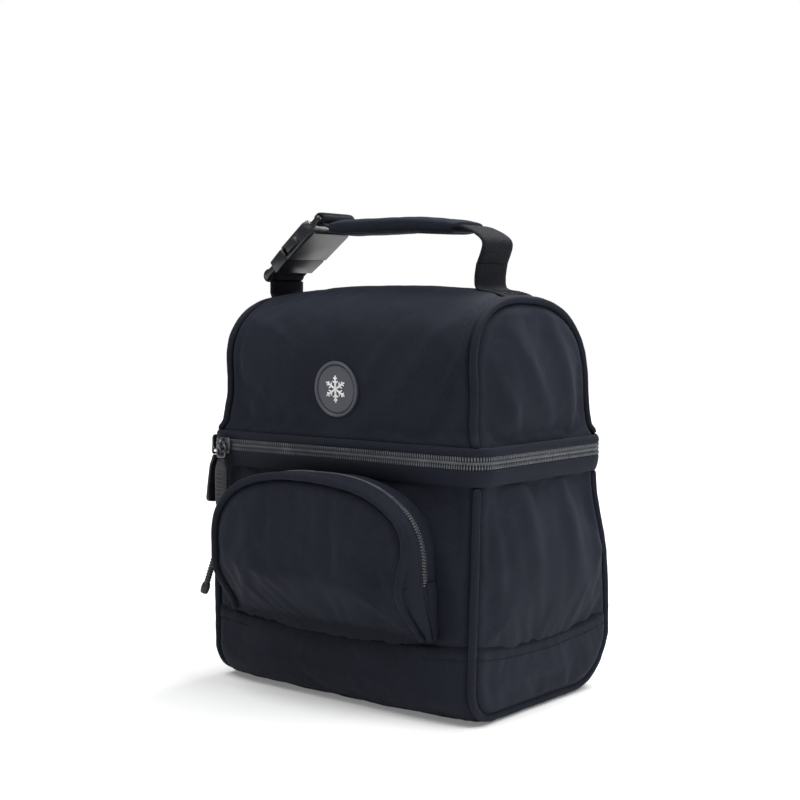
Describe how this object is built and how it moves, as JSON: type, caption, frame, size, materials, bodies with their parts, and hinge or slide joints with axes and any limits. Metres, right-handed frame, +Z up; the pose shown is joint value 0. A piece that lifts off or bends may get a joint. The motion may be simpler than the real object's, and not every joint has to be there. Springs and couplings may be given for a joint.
{
  "type": "insulated lunch cooler bag",
  "caption": "Padded insulated lunch bag with a domed zip lid, an arched front pocket, a round badge and a webbing carry handle with a side-release buckle",
  "frame": {"origin": "centre of the flat base face of the base board, on the ground", "axes": "+X to the right of the front, +Y from front to back, +Z up"},
  "size_m": [0.2184, 0.1705, 0.2904],
  "materials": {
    "shell_fabric": "twill weave",
    "side_fabric": "twill weave",
    "webbing": "coarse weave",
    "liner": "satin film",
    "foam": "closed cell foam",
    "base_board": "smooth",
    "zip_coil": "smooth",
    "slider_metal": "dark plated",
    "pull_rubber": "moulded",
    "badge_rubber": "moulded",
    "buckle_plastic": "moulded"
  },
  "bodies": {
    "tub": {"tub_wrap": "shell_fabric", "tub_side_left": "side_fabric", "tub_side_right": "side_fabric", "tub_foam": "foam", "tub_liner": "liner", "tub_piping_left": "shell_fabric", "tub_piping_right": "shell_fabric", "base_band": "shell_fabric", "base_band_left": "side_fabric", "base_band_right": "side_fabric", "base_board": "base_board", "tub_zip_tape": "shell_fabric", "tub_zip_teeth": "zip_coil", "hinge_strip": "shell_fabric", "pocket_gusset_rear": "side_fabric", "pocket_zip_teeth_rear": "zip_coil"},
    "lid": {"lid_wrap": "shell_fabric", "lid_side_left": "side_fabric", "lid_side_right": "side_fabric", "lid_foam": "foam", "lid_liner": "liner", "lid_piping_left": "shell_fabric", "lid_piping_right": "shell_fabric", "lid_zip_tape": "shell_fabric", "lid_zip_teeth": "zip_coil", "badge": "badge_rubber", "webbing_tab_right": "webbing", "webbing_tab_left": "webbing", "webbing_flex_right": "webbing"},
    "handle": {"handle_webbing": "webbing", "grip_sleeve": "shell_fabric", "buckle_socket": "buckle_plastic"},
    "plug": {"buckle_plug": "buckle_plastic", "plug_webbing_loop": "webbing"},
    "prong_back": {"buckle_prong_back": "buckle_plastic"},
    "prong_front": {"buckle_prong_front": "buckle_plastic"},
    "pocket_flap": {"pocket_panel": "shell_fabric", "pocket_gusset_front": "side_fabric", "pocket_zip_teeth_front": "zip_coil", "pocket_piping": "shell_fabric", "pocket_end_tab_left": "shell_fabric", "pocket_end_tab_right": "shell_fabric"},
    "front_slider_body": {"front_slider": "slider_metal"},
    "front_pull_body": {"front_pull_ring": "slider_metal", "front_pull": "pull_rubber"},
    "side_slider_body": {"side_slider": "slider_metal"},
    "side_pull_body": {"side_pull_ring": "slider_metal", "side_pull": "pull_rubber"},
    "pocket_slider_body": {"pocket_slider": "slider_metal"},
    "pocket_pull_body": {"pocket_pull_ring": "slider_metal", "pocket_pull": "pull_rubber"}
  },
  "joints": [
    {"name": "lid_hinge", "type": "hinge", "parent": "tub", "child": "lid", "pos_m": [0, 0.0637, 0.147], "axis": [-1, 0, 0], "range_deg": [0, 105], "deforming": ["hinge_strip"]},
    {"name": "handle_swing", "type": "hinge", "parent": "lid", "child": "handle", "pos_m": [0, -0.005, 0.247], "axis": [1, 0, 0], "range_deg": [-22, 22], "deforming": ["webbing_flex_right", "webbing_tab_left"]},
    {"name": "buckle_release", "type": "slide", "parent": "handle", "child": "plug", "axis": [-0.7881, 0, -0.6155], "range_m": [0, 0.022]},
    {"name": "prong_back_press", "type": "hinge", "parent": "plug", "child": "prong_back", "pos_m": [-0.08173, 0.009, 0.26531], "axis": [0.6155, 0, -0.7881], "range_deg": [0, 6], "stiffness_Nm_per_rad": 0.05},
    {"name": "prong_front_press", "type": "hinge", "parent": "plug", "child": "prong_front", "pos_m": [-0.08173, -0.019, 0.26531], "axis": [-0.6155, 0, 0.7881], "range_deg": [0, 6], "stiffness_Nm_per_rad": 0.05},
    {"name": "pocket_flap_open", "type": "hinge", "parent": "tub", "child": "pocket_flap", "pos_m": [0, -0.08, 0.0464], "axis": [1, 0, 0], "range_deg": [0, 35]},
    {"name": "front_slider_travel", "type": "slide", "parent": "tub", "child": "front_slider_body", "axis": [1, 0, 0], "range_m": [0, 0.014]},
    {"name": "front_pull_swing", "type": "hinge", "parent": "front_slider_body", "child": "front_pull_body", "pos_m": [-0.089, -0.0724, 0.147], "axis": [-1, 0, 0], "range_deg": [0, 150]},
    {"name": "side_slider_travel", "type": "slide", "parent": "tub", "child": "side_slider_body", "axis": [0, 1, 0], "range_m": [0, 0.1]},
    {"name": "side_pull_swing", "type": "hinge", "parent": "side_slider_body", "child": "side_pull_body", "pos_m": [-0.1094, -0.056, 0.147], "axis": [0, 1, 0], "range_deg": [0, 150]},
    {"name": "pocket_slider_travel", "type": "hinge", "parent": "tub", "child": "pocket_slider_body", "pos_m": [0, -0.08, 0.052], "axis": [0, 1, 0], "range_deg": [0, 128]},
    {"name": "pocket_pull_swing", "type": "hinge", "parent": "pocket_slider_body", "child": "pocket_pull_body", "pos_m": [-0.07977, -0.07889, 0.09168], "axis": [0.2074, 0.9728, -0.1032], "range_deg": [0, 40]}
  ],
  "couplings": [
    {"joint": "prong_front_press", "follows": "prong_back_press", "ratio": 1}
  ]
}
